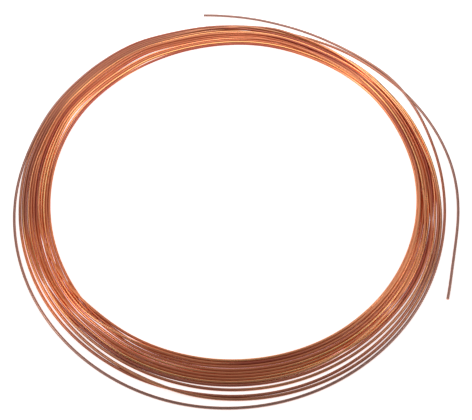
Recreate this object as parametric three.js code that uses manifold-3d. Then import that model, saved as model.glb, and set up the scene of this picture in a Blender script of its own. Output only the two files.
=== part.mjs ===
// Coil of thin copper capillary tube, wound flat and loose, lying on one end.
// Millimetres, +Z up, origin under the middle of the coil. Angles are in degrees,
// counter-clockwise from +X.
//
// The turns packed round the bore are one turned solid, ridged on both ends where
// each turn shows. The outer turns are one length of tube with both of its ends
// free. Each of them lies beside the packed turns, climbs over them on the +X side,
// where the coil is two layers deep, and comes down again one turn further out.
import * as THREE from 'three';
import { mergeVertices } from 'three/addons/utils/BufferGeometryUtils.js';
import Module from 'manifold-3d';

const wasm = await Module();
wasm.setup();

// The tube
const tubeDiameter = 2.0;
const tubeBore = 0.8;
const boreDepth = 5;            // how far the bore is opened at each free end

// The coil
const coilBore = 282;           // across the opening in the middle
const packedTurns = 8;
const turnGap = 0.1;            // between neighbouring turns

// The outer turns, from the one beside the packed turns outwards. A lane is one
// turn's width: slack is how many lanes a turn bulges out, at its widest.
const outerTurns = [
  { climbAt: 288, slack: 0.0, slackAt: 274, slackReach: 50 },
  { landAt: 116, climbAt: 303, slack: 0.3, slackAt: 274, slackReach: 50 },
  { landAt: 99, climbAt: 312, slack: 1.2, slackAt: 274, slackReach: 50 },
  { landAt: 86, climbAt: 320, slack: 1.3, slackAt: 274, slackReach: 50 },
  { landAt: 76, slack: 2.9, slackAt: 256, slackReach: 75 },
];
const moveOut = [32, 128];      // where a turn slides off the packed turns
const moveIn = [305, 358];      // where a turn slides on to them
const climbLength = 16;         // angle taken to rise or to come down by one layer
const settleLength = 8;         // angle taken to bed into a groove, or to leave it
const grooveSeat = 0.1;         // how deep a turn beds into its groove

// The free ends, as [angle, lane]
const lowerEnd = [
  [-36, 10.3], [-30, 7.8], [-25, 6.5], [-18, 5.9], [-9, 5.9], [0, 5.7], [10, 4.9],
  [20, 3.8], [28, 3.0], [36, 2.1], [45, 1.5], [60, 1.1], [72, 0.3], [90, 0.0],
];
const upperEnd = [
  [300, 5.0], [315, 3.8], [330, 2.3], [345, 1.3], [358, 1.1], [370, 1.3], [380, 2.6],
  [387, 3.1], [396, 3.5], [410, 2.9], [420, 3.3], [430, 4.1], [440, 5.8], [450, 7.8], [456, 9.4],
];
const lowerEndJoins = [60, 90];
const upperEndLeaves = [300, 320];
const endsCross = 387;          // the upper end passes over the lower one here
const crossingTop = 7;          // half the length of the hump it makes, at the top
const crossingFoot = 17;        // and at the foot

// The facets
const tubeSides = 8;
const stepAngle = 6;
const facetsRound = 360 / stepAngle;

const tubeRadius = tubeDiameter / 2;
const lane = tubeDiameter + turnGap;
const halfFlat = tubeRadius * Math.tan(Math.PI / tubeSides);
const cornerRadius = tubeRadius / Math.cos(Math.PI / tubeSides);
const layerRise = lane;
const groovedRise = 2 * (tubeRadius + halfFlat) - lane / 2 - grooveSeat;
const lastTurn = outerTurns.length - 1;
const slideIn = outerTurns.length - 0.5;
const slideOut = slideIn + 1;
const windingStart = lowerEnd[0][0];
const windingEnd = 360 * lastTurn + upperEnd[upperEnd.length - 1][0];

const copper = new THREE.MeshStandardMaterial({ color: 0xb8693f, metalness: 1, roughness: 0.3 });

// Centre line radius of a turn, counted outwards from the bore.
function turnRadius(turn) {
  return coilBore / 2 + tubeRadius + turn * lane;
}

function ease([from, to], angle) {
  return THREE.MathUtils.smoothstep(angle, from, to);
}

// A smooth curve through a list of [angle, value].
function through(knots, angle) {
  const last = knots.length - 1;
  let i = 1;
  while (i < last && knots[i][0] < angle) i += 1;
  const slope = (a, b) => (knots[b][1] - knots[a][1]) / (knots[b][0] - knots[a][0]);
  const chord = slope(i - 1, i);
  const slopeIn = slope(Math.max(i - 2, 0), i);
  const slopeOut = slope(i - 1, Math.min(i + 1, last));
  const span = knots[i][0] - knots[i - 1][0];
  const t = (angle - knots[i - 1][0]) / span;
  const bend = (1 - t) * (slopeIn - chord) - t * (slopeOut - chord);
  return THREE.MathUtils.lerp(knots[i - 1][1], knots[i][1], t) + t * (1 - t) * span * bend;
}

// How far out an outer turn lies, in lanes from the first one beside the packed turns.
function outerLane(turn, angle) {
  const { slack, slackAt, slackReach } = outerTurns[turn];
  const offPeak = Math.min(Math.abs(angle - slackAt) / slackReach, 1);
  let position = turn + slack * Math.cos(offPeak * Math.PI / 2) ** 2;
  if (turn > 0) position -= slideOut * (1 - ease(moveOut, angle));
  if (turn < lastTurn) position -= slideIn * ease(moveIn, angle);
  if (turn === 0 && angle < lowerEndJoins[1]) {
    return THREE.MathUtils.lerp(through(lowerEnd, angle), position, ease(lowerEndJoins, angle));
  }
  if (turn === lastTurn && angle > upperEndLeaves[0]) {
    return THREE.MathUtils.lerp(position, through(upperEnd, angle), ease(upperEndLeaves, angle));
  }
  return position;
}

// Height of the centre line: on the ground, lifted by a layer, or bedded in a groove.
function outerHeight(turn, angle) {
  const { landAt, climbAt } = outerTurns[turn];
  let lifted = 0;
  let bedded = 0;
  if (turn > 0) {
    lifted += 1 - ease([landAt, landAt + climbLength], angle);
    bedded += 1 - ease([moveOut[0], moveOut[0] + settleLength], angle);
  }
  if (turn < lastTurn) {
    lifted += ease([climbAt, climbAt + climbLength], angle);
    bedded += ease([moveIn[1] - settleLength, moveIn[1]], angle);
  } else {
    const fromCrossing = Math.abs(angle - endsCross);
    lifted += 1 - ease([crossingTop, crossingFoot], fromCrossing);
  }
  return tubeRadius + lifted * layerRise - bedded * (layerRise - groovedRise);
}

// The outer turns' centre line, from the lower free end to the upper one.
class OuterWinding extends THREE.Curve {
  getPoint(t, target = new THREE.Vector3()) {
    const total = THREE.MathUtils.lerp(windingStart, windingEnd, t);
    const turn = THREE.MathUtils.clamp(Math.floor(total / 360), 0, lastTurn);
    const angle = total - 360 * turn;
    const radius = turnRadius(packedTurns + outerLane(turn, angle));
    const around = THREE.MathUtils.degToRad(angle);
    return target.set(radius * Math.cos(around), radius * Math.sin(around), outerHeight(turn, angle));
  }

  // Even angles instead of even lengths, so that the facets line up with the packed turns'.
  getUtoTmapping(u) {
    return u;
  }
}

function tubeSection() {
  const corners = [];
  for (let side = 0; side < tubeSides; side += 1) {
    const turned = (side + 0.5) * 2 * Math.PI / tubeSides;
    corners.push(new THREE.Vector2(cornerRadius * Math.cos(turned), cornerRadius * Math.sin(turned)));
  }
  return new THREE.Shape(corners);
}

function outerTube(winding) {
  const steps = Math.round((windingEnd - windingStart) / stepAngle);
  return new THREE.ExtrudeGeometry(tubeSection(), { steps, extrudePath: winding });
}

// The packed turns: a flat ring with a ridge for each turn on its top and bottom.
function packedRing() {
  const valley = tubeRadius + halfFlat - lane / 2;
  const top = [];
  for (let turn = 0; turn < packedTurns; turn += 1) {
    const radius = turnRadius(turn);
    if (turn > 0) top.push([radius - lane / 2, valley]);
    top.push([radius - halfFlat, tubeRadius], [radius + halfFlat, tubeRadius]);
  }
  const inner = turnRadius(0) - tubeRadius;
  const outer = turnRadius(packedTurns - 1) + tubeRadius;
  const underside = top.map(([radius, height]) => [radius, -height]).reverse();
  const outline = [
    [inner, -halfFlat], [inner, halfFlat], ...top,
    [outer, halfFlat], [outer, -halfFlat], ...underside, [inner, -halfFlat],
  ];
  const points = outline.map(([radius, height]) => new THREE.Vector2(radius, height + tubeRadius));
  return new THREE.LatheGeometry(points.reverse(), facetsRound).rotateX(Math.PI / 2);
}

// A rod of the bore's size, run into the tube at a free end.
function endBore(winding, t) {
  const rod = new THREE.CylinderGeometry(tubeBore / 2, tubeBore / 2, 2 * boreDepth, tubeSides);
  const upright = new THREE.Vector3(0, 1, 0);
  rod.applyQuaternion(new THREE.Quaternion().setFromUnitVectors(upright, winding.getTangentAt(t)));
  return rod.translate(...winding.getPointAt(t));
}

function toSolid(geometry) {
  const bare = geometry.index ? geometry.toNonIndexed() : geometry.clone();
  bare.deleteAttribute('normal');
  bare.deleteAttribute('uv');
  const merged = mergeVertices(bare, 1e-4);
  return new wasm.Manifold(new wasm.Mesh({
    numProp: 3,
    vertProperties: new Float32Array(merged.attributes.position.array),
    triVerts: new Uint32Array(merged.index.array),
  }));
}

function toGeometry(solid) {
  const mesh = solid.getMesh();
  const geometry = new THREE.BufferGeometry();
  geometry.setAttribute('position', new THREE.BufferAttribute(mesh.vertProperties, 3));
  geometry.setIndex(new THREE.BufferAttribute(mesh.triVerts, 1));
  geometry.computeVertexNormals();
  return geometry;
}

function tubeCoil() {
  const winding = new OuterWinding();
  const solid = toSolid(packedRing())
    .add(toSolid(outerTube(winding)))
    .subtract(toSolid(endBore(winding, 0)))
    .subtract(toSolid(endBore(winding, 1)));
  const geometry = toGeometry(solid);
  geometry.computeBoundingBox();
  const middle = geometry.boundingBox.getCenter(new THREE.Vector3());
  geometry.translate(-middle.x, -middle.y, -geometry.boundingBox.min.z);
  const mesh = new THREE.Mesh(geometry, copper);
  mesh.name = 'tube_coil';
  return mesh;
}

const coil = new THREE.Group();
coil.name = 'copper_tube_coil';
coil.add(tubeCoil());

export default coil;
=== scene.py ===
import math

import bmesh
import bpy
import numpy as np
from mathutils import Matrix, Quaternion, Vector


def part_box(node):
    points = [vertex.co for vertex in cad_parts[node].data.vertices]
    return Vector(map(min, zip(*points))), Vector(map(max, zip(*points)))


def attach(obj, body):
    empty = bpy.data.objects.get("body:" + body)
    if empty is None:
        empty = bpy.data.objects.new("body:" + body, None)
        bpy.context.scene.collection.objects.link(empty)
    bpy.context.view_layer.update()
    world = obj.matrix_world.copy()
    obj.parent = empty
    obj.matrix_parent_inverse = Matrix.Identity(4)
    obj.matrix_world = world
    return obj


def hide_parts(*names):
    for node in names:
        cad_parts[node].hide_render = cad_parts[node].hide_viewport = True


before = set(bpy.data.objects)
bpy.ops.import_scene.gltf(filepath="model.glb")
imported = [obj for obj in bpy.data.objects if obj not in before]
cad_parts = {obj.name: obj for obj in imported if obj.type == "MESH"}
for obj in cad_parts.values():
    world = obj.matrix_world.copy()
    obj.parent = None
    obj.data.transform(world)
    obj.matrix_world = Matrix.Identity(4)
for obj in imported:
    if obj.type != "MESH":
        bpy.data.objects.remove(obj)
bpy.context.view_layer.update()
mm = 0.001

# A coil of thin copper tube, lying flat. Lengths are millimetres and angles degrees,
# counter-clockwise from +X round the coil's axis, until tubePath turns them into metres.

tube = {
    "diameter": 2.0,
    "bore": 0.8,
    "boreDepth": 8.0,
    "cutEdge": 0.14,       # rounding of the cut ends
    "sides": 20,
    "rows": 42,            # rows that the tube's skin is laid out in
    "rowHeight": 0.88,     # share of a row's height that the skin fills
    "rowMargin": 0.002,    # left free at both ends of a row
}


def through(knots, at):  # smooth curve through a list of (place, value)
    x, y = np.array(knots, float).T
    slope = np.gradient(y, x)
    slope[1:-1] = (y[2:] - y[:-2]) / (x[2:] - x[:-2])
    i = np.clip(np.searchsorted(x, at, side="right"), 1, len(x) - 1)
    span = x[i] - x[i - 1]
    t = np.clip((at - x[i - 1]) / span, 0, 1)
    chord = (y[i] - y[i - 1]) / span
    bend = (1 - t) * (slope[i - 1] - chord) - t * (slope[i] - chord)
    return y[i - 1] + t * (y[i] - y[i - 1]) + t * (1 - t) * span * bend


def ease(low, high, at):
    t = np.clip((at - low) / (high - low), 0, 1)
    return t * t * (3 - 2 * t)


winding = {
    "start": -36.0,        # lower free end
    "end": 13 * 360 + 96.0,  # upper free end
    "stepsPerTurn": 240,
    # each turn's seat where the coil is one layer deep, counted outwards from the opening
    "seats": (10, 8, 5, 1, 2, 3, 4, 7, 6, 9, 11, 12, 13),
    "seatsFrom": 100,      # a turn is counted from here, 100 to 460 degrees
    "slide": (382, 455),   # where a turn moves to the next seat
    "slides": {            # and those that move elsewhere
        0: (322, 352), 1: (292, 348), 2: (178, 236), 3: (186, 240), 4: (186, 240), 5: (186, 240),
        6: (376, 422), 7: (202, 230), 8: (200, 400), 9: (186, 240), 10: (186, 240), 11: (186, 240),
    },
    "detours": {           # riding turns that wander over other seats, as (angle, seat)
        1: [(292, 8), (345, 3.5), (362, 2.5), (395, 2.5), (424, 5)],
        5: [(216, 3.6), (228, 3.2), (246, 1.7), (254, 1.5), (300, 1.5), (362, 1.5), (385, 1.5), (436, 4)],
    },
    "endTucksUnder": (66, 100),  # where the lower end goes under the turns outside its seat
    "rides": {             # where a turn lies on top of its neighbours
        0: [(326, 352)], 1: [(284, 424)], 2: [(170, 240)], 5: [(222, 262), (300, 436)], 6: [(338, 536)],
        7: [(204, 234)], 9: [(196, 226), (380, 404), (432, 462)], 10: [(238, 270), (426, 454)],
        11: [(346, 444)], 12: [(370, 402)],
    },
    "rideEase": 10,        # angle that it takes to climb on to them
}

# Radius of the innermost turn, how far apart the turns on the floor lie, and how much
# further apart they lie under a riding turn, round the coil.
bundle = {
    "inner": [
        (0, 141.4), (12, 140.9), (35, 142.0), (60, 141.3), (78, 142.3), (95, 141.2), (115, 141.0),
        (130, 141.2), (145, 142.4), (160, 141.9), (180, 141.0), (200, 141.6), (211, 142.4),
        (220, 143.5), (229, 143.1), (240, 142.2), (270, 142.1), (300, 142.8), (315, 142.6),
        (330, 141.8), (350, 141.4), (360, 141.4),
    ],
    "spacing": [
        (0, 2.1), (12, 2.05), (100, 2.05), (120, 2.12), (132, 2.24), (150, 2.03), (162, 2.13),
        (180, 2.08), (200, 2.08), (212, 2.06), (222, 2.06), (232, 2.07), (241, 2.09), (250, 2.14),
        (262, 2.06), (278, 2.02), (345, 2.04), (360, 2.1),
    ],
    "parting": [
        (0, 0.1), (20, 0.0), (30, 0.05), (45, 0.33), (60, 0.0), (80, 0.0), (95, 0.8), (110, 0.1),
        (120, 0.7), (132, 1.2), (150, 0.0), (165, 0.3), (180, 1.1), (200, 0.8), (209, 1.2),
        (220, 0.75), (232, 0.7), (241, 1.3), (290, 1.2), (300, 0.8), (312, 0.9), (325, 1.1),
        (340, 0.6), (350, 0.2), (360, 0.1),
    ],
    # openings between two turns: angle, half length, turns inside it, width
    "slits": [(118, 10, 1, 1.9), (118, 17, 4, 1.95), (151, 11, 1, 0.6), (151, 11, 2, 2.0)],
}

# Turns that stray from the bundle, as (turn, [(angle, radius), ...]).
strays = [
    (0, [(-36, 179.8), (-30, 174.1), (-25, 171.6), (-18, 171.1), (-9, 171.5), (0, 171.1),
         (10, 169.6), (20, 167.7), (27, 166.2), (33, 164.9), (40, 163.6), (50, 162.7), (60, 161.3),
         (70, 160.7), (78, 160.1), (90, 158.7), (105, 158.4)]),
    (9, [(200, 158.0), (210, 158.5), (222, 158.8), (240, 159.5), (250, 160.3), (265, 161.3),
         (285, 161.3), (300, 160.15), (325, 158.6), (345, 155.6)]),
    (10, [(178, 161.4), (200, 160.8), (210, 160.9), (220, 161.2), (230, 162.0), (238, 162.8),
          (248, 164.6), (254, 165.8), (260, 166.8), (270, 167.6), (285, 167.7), (300, 166.6),
          (320, 163.3), (335, 160.9), (350, 157.8), (365, 155.6)]),
    (11, [(178, 163.4), (200, 163.3), (215, 164.2), (230, 164.8), (258, 165.4), (285, 165.4),
          (300, 163.7), (320, 161.2), (335, 158.9), (350, 156.0), (372, 151.6), (390, 151.4),
          (400, 153.0), (410, 155.3), (420, 157.0), (430, 158.6), (436, 160.2), (444, 162.0),
          (460, 164.0)]),
    (12, [(130, 167.1), (150, 166.4), (165, 165.4), (180, 166.9), (200, 168.4), (220, 170.4),
          (240, 172.4), (255, 173.3), (270, 172.9), (285, 171.5), (300, 169.2), (315, 166.7),
          (330, 163.7), (345, 161.6), (358, 161.1), (370, 161.7), (379, 163.8), (386, 165.1),
          (392, 165.3), (402, 165.5), (415, 165.3), (420, 166.2), (425, 167.2), (430, 168.2),
          (435, 169.5), (440, 171.9), (450, 175.7), (456, 179.0)]),
]
strayFade = 18             # angle over which a turn leaves the bundle or joins it again


def layRows():  # a row of steps for each pass over the +X axis, with one more for each free end
    steps = winding["stepsPerTurn"]
    rows = len(winding["seats"]) + 2
    number = np.arange(rows * steps)
    around = (number % steps) * 360.0 / steps
    total = (number // steps - 1) * 360.0 + around
    real = (total >= winding["start"] - 1e-6) & (total <= winding["end"] + 1e-6)
    return around, total, real, (rows, steps)


def takeSeats(total):  # the seat of every step, and how far it rides on its neighbours
    seats = winding["seats"]
    turns = len(seats)
    seat = turns + (seats[0] - turns) * ease(*winding["endTucksUnder"], total)
    lift = np.zeros(len(total))
    for turn in range(turns):
        angle = total - 360 * turn
        following = seats[min(turn + 1, turns - 1)]
        slide = winding["slides"].get(turn, winding["slide"])
        moved = seats[turn] + (following - seats[turn]) * ease(*slide, angle)
        here = angle >= winding["seatsFrom"]
        seat[here] = moved[here]
        for low, high in winding["rides"].get(turn, []):
            climb, descent = low + winding["rideEase"], high - winding["rideEase"]
            up = ease(low, climb, angle) * (1 - ease(descent, high, angle))
            lift = np.maximum(lift, up)
    for turn, knots in winding["detours"].items():
        angle = total - 360 * turn
        here = (angle >= knots[0][0]) & (angle <= knots[-1][0])
        seat[here] = through(knots, angle)[here]
    return seat, lift


def bundleLine(around, real, seat, lift, shape):
    # a turn lies outside the turns on the floor within it, which the riding ones part further
    seatRows = seat.reshape(shape)
    onFloor = np.where(real, 1 - lift, 0).reshape(shape)
    above = np.where(real, lift, 0).reshape(shape)
    within = np.clip(seatRows[:, None] - seatRows[None] + 0.5, 0, 1)
    rank = (within * onFloor[None]).sum(1).ravel() - 0.5
    riding = (within * above[None]).sum(1).ravel()
    line = through(bundle["inner"], around) + through(bundle["spacing"], around) * rank
    line += through(bundle["parting"], around) * riding
    steady = np.zeros(len(around))
    for at, reach, inside, gap in bundle["slits"]:
        opening = np.cos(np.clip((around - at) / reach, -1, 1) * math.pi / 2) ** 2
        line += gap * opening * ease(inside - 0.8, inside - 0.2, rank)
        steady = np.maximum(steady, opening)
    return line, steady


def letStray(line, steady, total):
    for turn, knots in strays:
        angle = total - 360 * turn
        first, last = knots[0][0], knots[-1][0]
        share = ((angle >= first - 1e-6) & (angle <= last + 1e-6)).astype(float)
        if 360 * turn + first > winding["start"]:
            share *= ease(first, first + strayFade, angle)
        if 360 * turn + last < winding["end"]:
            share *= 1 - ease(last - strayFade, last, angle)
        line += (through(knots, angle) - line) * share
        steady = np.maximum(steady, wander["straysSteady"] * share)
    return line, steady


# How far a turn wanders off its line and how often, where it begins and ends, and how
# steady the stray turns are.
wander = {
    "offset": 0.2,
    "every": 38.0,
    "begins": (60, 130),
    "ends": (12 * 360 + 100, 12 * 360 + 160),
    "straysSteady": 0.8,
    "seed": 7,
}


def wanderOff(total, rows):
    draws = np.random.default_rng(wander["seed"])
    places = np.arange(0, rows * 360 + 1, wander["every"])
    offsets = draws.normal(0, wander["offset"], len(places))
    share = ease(*wander["begins"], total) * (1 - ease(*wander["ends"], total))
    return through(np.stack([places, offsets], 1), total + 360) * share


def windTube():
    around, total, real, shape = layRows()
    seat, lift = takeSeats(total)
    line, steady = bundleLine(around, real, seat, lift, shape)
    line, steady = letStray(line, steady, total)
    line += wanderOff(total, shape[0]) * (1 - steady)
    return around, real, line, lift, shape


settling = {
    "rounds": 2500,
    "clearance": 0.02,
    "startHeight": 1.2,    # of a riding turn over the others, in diameters
    "pull": 0.03,          # towards each turn's own line
    "weight": 0.008,
    "stiffness": 0.22,
    "push": 0.45,
    "calmAfter": 0.6,      # share of the rounds after which everything slows down,
    "calmOver": 0.35,      # and share of them that this takes
    "calmed": {"stiffness": 0.85, "pull": 0.9, "weight": 0.95},  # how much is taken off in the end
}


def settleTube(real, line, lift, shape):
    # every turn is pulled to its line and down to the floor, and pushed off the turns it touches
    ground = tube["diameter"] / 2
    pitch = tube["diameter"] + settling["clearance"]
    radius = line.copy()
    height = ground + settling["startHeight"] * tube["diameter"] * lift
    heldOrHighlight = np.where(real)[0]
    span = slice(heldOrHighlight[0], heldOrHighlight[-1] + 1)
    there = real.reshape(shape)
    pairs = there[:, None] & there[None] & ~np.eye(shape[0], dtype=bool)[:, :, None]
    for done in range(settling["rounds"]):
        calm = np.clip((done / settling["rounds"] - settling["calmAfter"]) / settling["calmOver"], 0, 1)
        stiffness, pull, weight = (
            settling[k] * (1 - settling["calmed"][k] * calm) for k in ("stiffness", "pull", "weight")
        )
        for values in (radius[span], height[span]):
            values[1:-1] += stiffness * (values[:-2] + values[2:] - 2 * values[1:-1])
        radius += pull * (line - radius)
        height = np.maximum(height - weight, ground)
        byRow = radius.reshape(shape), height.reshape(shape)
        out, up = (v[:, None] - v[None] for v in byRow)
        apart = np.sqrt(out * out + up * up + 1e-9)
        push = np.where(pairs & (apart < pitch), (pitch - apart) / apart, 0) * settling["push"]
        radius = radius + (push * out).sum(1).ravel()
        height = np.maximum(height + (push * up).sum(1).ravel(), ground)
    return radius, height


def tubePath():
    around, real, line, lift, shape = windTube()
    radius, height = settleTube(real, line, lift, shape)
    angle = np.radians(around)
    points = np.stack([radius * np.cos(angle), radius * np.sin(angle), height], 1)[real]
    low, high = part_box("tube_coil")
    middle = (points.min(0) + points.max(0)) / 2
    axis = np.array([(low.x + high.x) / 2 / mm - middle[0], (low.y + high.y) / 2 / mm - middle[1], 0.0])
    print("tube wound:", len(points), "points, coil axis at", axis.round(2))
    return (points + axis) * mm, Vector(axis) * mm


def pathObject(points):
    mesh = bpy.data.meshes.new("tubePath")
    mesh.from_pydata([tuple(p) for p in points], [(i, i + 1) for i in range(len(points) - 1)], [])
    obj = bpy.data.objects.new("tubePath", mesh)
    bpy.context.scene.collection.objects.link(obj)
    return obj


def adder(tree):
    def add(kind, **settings):
        node = tree.nodes.new(kind)
        for name, value in settings.items():
            setattr(node, name, value)
        return node
    return add


def sweepTree():  # a tube swept along an edge path, with the place on the straight tube kept for the finish
    tree = bpy.data.node_groups.new("sweptTube", "GeometryNodeTree")
    tree.interface.new_socket("Geometry", in_out="INPUT", socket_type="NodeSocketGeometry")
    tree.interface.new_socket("Geometry", in_out="OUTPUT", socket_type="NodeSocketGeometry")
    for name, kind, value in (("Diameter", "NodeSocketFloat", 0.002), ("Sides", "NodeSocketInt", 16)):
        tree.interface.new_socket(name, in_out="INPUT", socket_type=kind).default_value = value
    tree.interface.new_socket("Material", in_out="INPUT", socket_type="NodeSocketMaterial")

    add, link = adder(tree), tree.links.new
    given = add("NodeGroupInput")
    toCurve = add("GeometryNodeMeshToCurve")
    upright = add("GeometryNodeSetCurveNormal", mode="Z_UP")
    along = add("GeometryNodeSplineParameter")
    keepLength = add("GeometryNodeStoreNamedAttribute", data_type="FLOAT", domain="POINT")
    keepLength.inputs["Name"].default_value = "tubeLength"
    half = add("ShaderNodeMath", operation="MULTIPLY")
    half.inputs[1].default_value = 0.5
    ring = add("GeometryNodeCurvePrimitiveCircle", mode="RADIUS")
    section = add("GeometryNodeInputPosition")
    keepSection = add("GeometryNodeStoreNamedAttribute", data_type="FLOAT_VECTOR", domain="POINT")
    keepSection.inputs["Name"].default_value = "tubeSection"
    sweep = add("GeometryNodeCurveToMesh")
    smooth = add("GeometryNodeSetShadeSmooth")
    realize = add("GeometryNodeRealizeInstances")
    finish = add("GeometryNodeSetMaterial")
    result = add("NodeGroupOutput")

    link(given.outputs["Geometry"], toCurve.inputs[0])
    link(toCurve.outputs[0], upright.inputs["Curve"])
    link(upright.outputs[0], keepLength.inputs["Geometry"])
    link(along.outputs["Length"], keepLength.inputs["Value"])
    link(given.outputs["Diameter"], half.inputs[0])
    link(half.outputs[0], ring.inputs["Radius"])
    link(given.outputs["Sides"], ring.inputs["Resolution"])
    link(ring.outputs[0], keepSection.inputs["Geometry"])
    link(section.outputs[0], keepSection.inputs["Value"])
    link(keepLength.outputs[0], sweep.inputs["Curve"])
    link(keepSection.outputs[0], sweep.inputs["Profile Curve"])
    link(sweep.outputs[0], smooth.inputs["Geometry"])
    link(smooth.outputs[0], realize.inputs["Geometry"])
    link(realize.outputs[0], finish.inputs["Geometry"])
    link(given.outputs["Material"], finish.inputs["Material"])
    link(finish.outputs[0], result.inputs[0])
    return tree


def setInputs(modifier, **values):
    for item in modifier.node_group.interface.items_tree:
        if item.in_out == "INPUT" and item.name in values:
            modifier[item.identifier] = values[item.name]


def sweepTube(path, material):
    modifier = path.modifiers.new("sweptTube", "NODES")
    modifier.node_group = sweepTree()
    setInputs(modifier, Diameter=tube["diameter"] * mm, Sides=tube["sides"], Material=material)
    evaluated = path.evaluated_get(bpy.context.evaluated_depsgraph_get())
    mesh = bpy.data.meshes.new_from_object(evaluated)
    mesh.name = "copperTube"
    path.modifiers.remove(modifier)
    bpy.data.objects.remove(path)
    obj = bpy.data.objects.new("copperTube", mesh)
    bpy.context.scene.collection.objects.link(obj)
    return obj


def layOut(obj):  # the tube's skin in rows, one above the other, with a row left for the cut ends
    mesh, sides, margin = obj.data, tube["sides"], tube["rowMargin"]
    corner = np.empty(len(mesh.loops), int)
    mesh.loops.foreach_get("vertex_index", corner)
    ring, side = np.divmod(corner.reshape(-1, 4), sides)
    side = np.where((side == 0) & (side.max(1, keepdims=True) == sides - 1), sides, side)
    rowLength = math.ceil((ring.max() + 1) / tube["rows"])
    row = ring.min(1, keepdims=True) // rowLength
    across = 0.5 + (side / sides - 0.5) * tube["rowHeight"]
    along = (ring - row * rowLength) / rowLength * (1 - 2 * margin) + margin
    places = np.stack([along, (row + across) / (tube["rows"] + 1)], -1)
    skin = mesh.uv_layers.new(name="OFBake")
    skin.uv.foreach_set("vector", places.astype(np.float32).ravel())
    return obj


def openRims(shape):  # the corners round the tube's two open ends, in order
    rims = sorted({v for e in shape.edges if e.is_boundary for v in e.verts}, key=lambda v: v.index)
    return rims[:tube["sides"]], rims[tube["sides"]:]


def endPlace(rim):  # the middle of an open end, and the way into the tube
    centre = sum((v.co for v in rim), Vector()) / len(rim)
    inwards = Vector()
    for v in rim:
        for e in v.link_edges:
            other = e.other_vert(v)
            if other not in rim:
                inwards += other.co - v.co
    return centre, inwards.normalized()


def cutEnd(shape, rim, centre, inwards):  # the cut face and the bore behind it
    section = shape.verts.layers.float_vector["tubeSection"]
    outer, bore, cut = (tube[k] * mm for k in ("diameter", "bore", "cutEdge"))
    # radius and depth of each ring of the cut end, from the outside in
    profile = [
        (outer / 2 - 0.3 * cut, -0.7 * cut), (outer / 2 - cut, -cut), (bore / 2 + 0.5 * cut, -cut),
        (bore / 2, -0.5 * cut), (bore / 2, tube["boreDepth"] * mm),
    ]
    faces = []
    for radius, depth in profile:
        ring = []
        for v in rim:
            away = v.co - centre
            away -= inwards * away.dot(inwards)
            corner = shape.verts.new(centre + away.normalized() * radius + inwards * depth, v)
            corner[section] = v[section].normalized() * radius
            ring.append(corner)
        for i in range(len(rim)):
            faces.append(shape.faces.new((rim[i - 1], rim[i], ring[i], ring[i - 1])))
        rim = ring
    faces.append(shape.faces.new(rim))
    return faces


def layOutEnd(shape, faces, centre, inwards, number):
    # in the top row, as seen from its front, with the bore drawn in towards its middle
    fill, drawnIn = 0.85, 0.45
    skin = shape.loops.layers.uv["OFBake"]
    rightwards = inwards.orthogonal().normalized()
    upwards = inwards.cross(rightwards)
    for face in faces:
        for corner in face.loops:
            away = corner.vert.co - centre
            depth = away.dot(inwards)
            away -= inwards * depth
            angle = math.atan2(away.dot(upwards), away.dot(rightwards))
            reach = away.length / (tube["diameter"] * mm) * fill
            reach *= 1 - drawnIn * max(depth, 0) / (tube["boreDepth"] * mm)
            corner[skin].uv = (
                (number + 0.5 + reach * math.cos(angle)) / (tube["rows"] + 1),
                1 + (reach * math.sin(angle) - 0.5) / (tube["rows"] + 1),
            )


def openEnds(obj):
    shape = bmesh.new()
    shape.from_mesh(obj.data)
    for number, rim in enumerate(openRims(shape)):
        centre, inwards = endPlace(rim)
        faces = cutEnd(shape, rim, centre, inwards)
        layOutEnd(shape, faces, centre, inwards, number)
        print("end", number + 1, "cut:", len(faces), "faces")
    bmesh.ops.recalc_face_normals(shape, faces=shape.faces)
    for face in shape.faces:
        face.smooth = True
    shape.to_mesh(obj.data)
    shape.free()
    return obj


finish = {
    "clean": (0.95, 0.41, 0.205),
    "golden": (0.98, 0.50, 0.22),       # a thin film of tarnish
    "brown": (0.68, 0.225, 0.115),
    "plum": (0.46, 0.12, 0.08),
    "outerShade": (0.48, 0.19, 0.125),        # painted shade: the loose outer turns darker and duller distance from the axis over which that painted shade comes in
    "outerShadeFrom": (153.0, 161.0),         # distance from the axis over which the turns get dull
    "grey": (0.41, 0.245, 0.21),        # greyer colour for the loose tube near the free ends
    "greyFrom": (160.5, 168.0),         # distance from the axis over which it gets grey,
    "greyWithin": (850.0, 1000.0),      # and how far from the ends, along the tube
    "paintedHighlight": (0.96, 0.32, 0.12),        # painted highlight: brighter, more orange copper angle and distance from the axis of that painted highlight, and how far from there it fades out
    "paintedHighlightAt": (208.0, 158.0),           # angle and distance from the axis of that place,
    "paintedHighlightWithin": (28.0, 60.0),       # and how far from there it has turned dull
    "innerHighlightAt": (320.0, 20.0),              # centre of a round painted highlight on the innermost turns, and how far from there it reaches them, in clean copper
    "innerHighlightWithin": (123.0, 131.0),       # there the innermost turns are worn clean
    "cut": (0.93, 0.52, 0.38),
    "cutTo": (0.86, 0.94),              # share of the tube's radius where its cut faces end
    "inside": (0.25, 0.10, 0.07),
    "insideTo": (1.0, 1.15),            # share of the bore's radius where its dark wall ends
    "reflection": (1.0, 0.55, 0.4),     # tint of the reflections along the edges
    "roughness": (0.14, 0.34),          # where it is clean, and where it is tarnished
    "drawLines": 0.002,                 # depth of the drawn lines and of the dents, in millimetres
    "dents": 0.02,
    # how much of a colour lies over the ones below it, the painted highlights and shade among them
    "amount": {"paintedHighlight": 0.5, "innerHighlight": 0.8, "clouds": 0.3, "lines": 0.1, "outerShade": (0.7, 0.95), "grey": 0.85},
}

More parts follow.
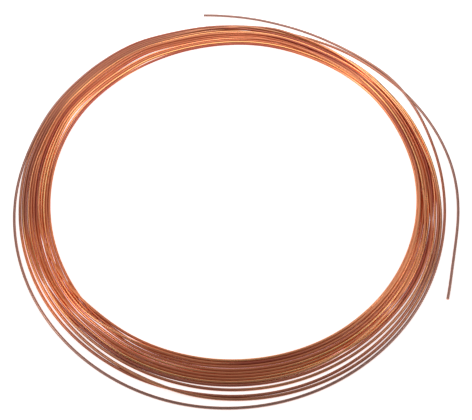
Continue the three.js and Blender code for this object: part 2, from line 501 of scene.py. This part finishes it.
# Patterns along the tube: size across and along it, detail, and a shift that picks the pattern;
# and the values of the noise between which each mark comes in.
patterns = {
    "golden": (40, 420, 2, 3.1),
    "brown": (40, 310, 2, 48.6),
    "plum": (40, 240, 2, 23.4),
    "clouds": (6, 60, 2, 5.2),
    "lines": (0.35, 120, 2, 8.8),
    "dents": (3, 16, 1, 17.3),
}
comesIn = {
    "golden": (0.46, 0.56),
    "brown": (0.49, 0.56),
    "plum": (0.54, 0.60),
    "clouds": (0.5, 0.7),
    "outerShade": (0.3, 0.7),
    "lines": (0.55, 0.75),
}


def shaderTools(tree):  # short ways to add the nodes that the copper uses
    add, link = adder(tree), tree.links.new

    def fill(node, values):
        for socket, value in zip(node.inputs, values):
            if isinstance(value, bpy.types.NodeSocket):
                link(value, socket)
            else:
                socket.default_value = value
        return node

    def maths(operation, *values):
        return fill(add("ShaderNodeMath", operation=operation), values).outputs[0]

    def vectors(operation, *values):
        node = fill(add("ShaderNodeVectorMath", operation=operation), values)
        return node.outputs["Value" if operation in ("LENGTH", "DISTANCE") else "Vector"]

    def spread(value, low, high, least=0.0, most=1.0):
        node = add("ShaderNodeMapRange", interpolation_type="SMOOTHSTEP")
        fill(node, (value, low, high, least, most))
        return node.outputs["Result"]

    def tint(under, over, amount):
        node = add("ShaderNodeMix", data_type="RGBA")
        link(amount, node.inputs[0])
        for socket, colour in ((node.inputs[6], under), (node.inputs[7], over)):
            if isinstance(colour, tuple):
                socket.default_value = (*colour, 1)
            else:
                link(colour, socket)
        return node.outputs[2]

    return add, link, spread, maths, vectors, tint


def copperMaterial(axis, tubeLong):
    material = bpy.data.materials.new("drawnCopper")
    material.use_nodes = True
    tree = material.node_tree
    add, link, spread, maths, vectors, tint = shaderTools(tree)
    shader = tree.nodes["Principled BSDF"]
    shader.inputs["Metallic"].default_value = 1.0
    shader.inputs["Specular Tint"].default_value = (*finish["reflection"], 1)
    amount = finish["amount"]

    # the place on the straight tube: across its section in X and Y, along it in Z
    section = add("ShaderNodeAttribute", attribute_name="tubeSection").outputs["Vector"]
    length = add("ShaderNodeAttribute", attribute_name="tubeLength").outputs["Fac"]
    along = add("ShaderNodeCombineXYZ")
    link(length, along.inputs["Z"])
    onTube = vectors("ADD", section, along.outputs[0])

    def pattern(name):
        across, lengthwise, detail, shift = patterns[name]
        scale = (1 / (across * mm), 1 / (across * mm), 1 / (lengthwise * mm))
        noise = add("ShaderNodeTexNoise")
        noise.inputs["Scale"].default_value = 1.0
        noise.inputs["Detail"].default_value = detail
        link(vectors("MULTIPLY_ADD", onTube, scale, (shift, shift, shift)), noise.inputs["Vector"])
        return noise.outputs["Fac"]

    # tarnish: each turn has a tone of its own, with cloudy patches and fine lines along the tube
    goldened, browned, darkened = (spread(pattern(k), *comesIn[k]) for k in ("golden", "brown", "plum"))
    clouds, lines = pattern("clouds"), pattern("lines")
    colour = tint(finish["clean"], finish["golden"], goldened)
    colour = tint(colour, finish["brown"], browned)
    colour = tint(colour, finish["plum"], darkened)
    colour = tint(colour, finish["brown"], spread(clouds, *comesIn["clouds"], most=amount["clouds"]))
    colour = tint(colour, finish["golden"], spread(lines, *comesIn["lines"], most=amount["lines"]))

    # places on the coil, seen from above
    place = add("ShaderNodeTexCoord").outputs["Object"]
    flat = vectors("MULTIPLY", vectors("SUBTRACT", place, axis), (1, 1, 0))
    away = vectors("LENGTH", flat)

    def within(limits, distance, least=0.0, most=1.0):  # limits in millimetres
        return spread(distance, *(limit * mm for limit in limits), least, most)

    def distanceFrom(degrees, reach):
        turned = math.radians(degrees)
        spot = (reach * mm * math.cos(turned), reach * mm * math.sin(turned), 0)
        return vectors("DISTANCE", flat, spot)

    # painted highlights: brighter round one place on the outer turns, and on the innermost turns near 320
    # degrees
    outsideHighlight = within(finish["paintedHighlightWithin"], distanceFrom(*finish["paintedHighlightAt"]))
    heldOrHighlight = maths("MULTIPLY_ADD", outsideHighlight, -amount["paintedHighlight"], amount["paintedHighlight"])
    colour = tint(colour, finish["paintedHighlight"], heldOrHighlight)
    innerHighlight = within(finish["innerHighlightWithin"], distanceFrom(*finish["innerHighlightAt"]), amount["innerHighlight"], 0.0)
    colour = tint(colour, finish["clean"], innerHighlight)

    # painted shade: the loose outer turns are darker and duller, and towards the free ends they are grey
    cloudy = spread(clouds, *comesIn["outerShade"], *amount["outerShade"])
    # the painted shade is kept off round the painted highlight on the outer turns
    outerShading = maths("MULTIPLY", maths("MULTIPLY", within(finish["outerShadeFrom"], away), cloudy), outsideHighlight)
    colour = tint(colour, finish["outerShade"], outerShading)
    toEnd = maths("MINIMUM", length, maths("SUBTRACT", tubeLong, length))
    nearEnd = within(finish["greyWithin"], toEnd, 1.0, 0.0)
    greyness = maths("MULTIPLY", within(finish["greyFrom"], away, most=amount["grey"]), nearEnd)
    colour = tint(colour, finish["grey"], greyness)

    # the cut faces of the ends are bright, and the bore is dark
    outer, bore = tube["diameter"] / 2 * mm, tube["bore"] / 2 * mm
    fromMiddle = vectors("LENGTH", section)
    onFace = spread(fromMiddle, *(share * outer for share in finish["cutTo"]), 1.0, 0.0)
    colour = tint(colour, finish["cut"], onFace)
    inBore = spread(fromMiddle, *(share * bore for share in finish["insideTo"]), 1.0, 0.0)
    colour = tint(colour, finish["inside"], inBore)
    link(colour, shader.inputs["Base Color"])

    # tarnish, and the painted shade of the outer turns, take the gloss away
    tarnished = maths("MAXIMUM", maths("MAXIMUM", browned, darkened), maths("MULTIPLY", clouds, 0.5))
    gloss = spread(maths("MAXIMUM", tarnished, outerShading), 0.0, 1.0, *finish["roughness"])
    link(gloss, shader.inputs["Roughness"])

    # drawn lines along the tube, and shallow dents
    drawn, dented = add("ShaderNodeBump"), add("ShaderNodeBump")
    drawn.inputs["Distance"].default_value = finish["drawLines"] * mm
    dented.inputs["Distance"].default_value = finish["dents"] * mm
    link(lines, drawn.inputs["Height"])
    link(pattern("dents"), dented.inputs["Height"])
    link(drawn.outputs["Normal"], dented.inputs["Normal"])
    link(dented.outputs["Normal"], shader.inputs["Normal"])
    print("copper mixed:", len(tree.nodes), "nodes")
    return material


camera = {                 # from the coil's axis, in millimetres
    "place": (0.0, -268.2, 427.2),
    "target": (1.7, -26.1, 0.0),
    "roll": -2.358,
    "sensor": 36.0,
    "focal": 650.0 / 472 * 36.0,
}


def aimed(obj, place, target, roll=0.0):  # looks from one place at another
    obj.location = place
    obj.rotation_mode = "QUATERNION"
    aim = (Vector(target) - Vector(place)).to_track_quat("-Z", "Y")
    obj.rotation_quaternion = aim @ Quaternion((0, 0, 1), math.radians(roll))
    bpy.context.scene.collection.objects.link(obj)
    return obj


def makeCamera(axis):
    lens = bpy.data.cameras.new("camera")
    lens.sensor_width = camera["sensor"]
    lens.lens = camera["focal"]
    lens.clip_start, lens.clip_end = 0.01, 50
    place, target = (Vector(camera[k]) * mm + axis for k in ("place", "target"))
    bpy.context.scene.camera = aimed(bpy.data.objects.new("camera", lens), place, target, camera["roll"])


studio = {
    "floorSize": 12.0,     # in metres
    "floorColour": 0.9,
    "floorRoughness": 0.9,
    "floorGlow": 0.7,
    "boxes": [             # name, place, what it is aimed at, side (in metres), spread, watts
        ("boxAbove", (0.0, 0.25, 0.35), (0.0, 0.2, 0.0), 0.3, 90, 0.20),
        ("boxLeft", (-0.8, 0.0, 1.0), (0.0, 0.0, 0.0), 0.5, 180, 2.4),
        ("boxRight", (0.8, 0.0, 1.0), (0.0, 0.0, 0.0), 0.5, 180, 2.0),
        ("boxFront", (0.0, -0.2, 0.9), (0.0, 0.0, 0.0), 0.5, 180, 0.2),
    ],
    "wall": 0.8,           # brightness of the pale wall all round,
    "wallFades": (10, 40),  # how high it fades out,
    "sky": 0.15,           # and brightness of the ceiling above it
}


def makeFloor():
    side, grey = studio["floorSize"] / 2, studio["floorColour"]
    corners = [(-side, -side, 0), (side, -side, 0), (side, side, 0), (-side, side, 0)]
    mesh = bpy.data.meshes.new("floor")
    mesh.from_pydata(corners, [], [(0, 1, 2, 3)])
    floor = bpy.data.objects.new("floor", mesh)
    bpy.context.scene.collection.objects.link(floor)
    paper = bpy.data.materials.new("paper")
    paper.use_nodes = True
    shader = paper.node_tree.nodes["Principled BSDF"]
    shader.inputs["Base Color"].default_value = (grey, grey, grey, 1)
    shader.inputs["Roughness"].default_value = studio["floorRoughness"]
    shader.inputs["Emission Color"].default_value = (1, 1, 1, 1)
    shader.inputs["Emission Strength"].default_value = studio["floorGlow"]
    mesh.materials.append(paper)


def makeLights():
    for name, place, target, size, spread, power in studio["boxes"]:
        lamp = bpy.data.lights.new(name, "AREA")
        lamp.size = size
        lamp.spread = math.radians(spread)
        lamp.energy = power
        aimed(bpy.data.objects.new(name, lamp), place, target).visible_camera = False
    print("studio lit:", len(studio["boxes"]), "boxes")


def makeWall():  # pale all round, fading into a dim ceiling
    world = bpy.data.worlds.new("studio")
    bpy.context.scene.world = world
    world.use_nodes = True
    add, link, spread = shaderTools(world.node_tree)[:3]
    background = world.node_tree.nodes["Background"]
    background.inputs["Color"].default_value = (1, 1, 1, 1)
    upwards = add("ShaderNodeSeparateXYZ")
    link(add("ShaderNodeTexCoord").outputs["Generated"], upwards.inputs[0])
    low, high = (math.sin(math.radians(a)) for a in studio["wallFades"])
    brightness = spread(upwards.outputs["Z"], low, high, studio["wall"], studio["sky"])
    link(brightness, background.inputs["Strength"])
    look = bpy.context.scene.view_settings
    look.view_transform = "Standard"
    look.look = "None"


points, axis = tubePath()
tubeLong = float(np.linalg.norm(np.diff(points, axis=0), axis=1).sum())
makeCamera(axis)
makeFloor()
makeLights()
makeWall()
copper = copperMaterial(axis, tubeLong)
coil = openEnds(layOut(sweepTube(pathObject(points), copper)))
print("tube swept:", round(tubeLong, 2), "m,", len(coil.data.polygons), "faces")
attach(coil, "root")
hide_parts("tube_coil")
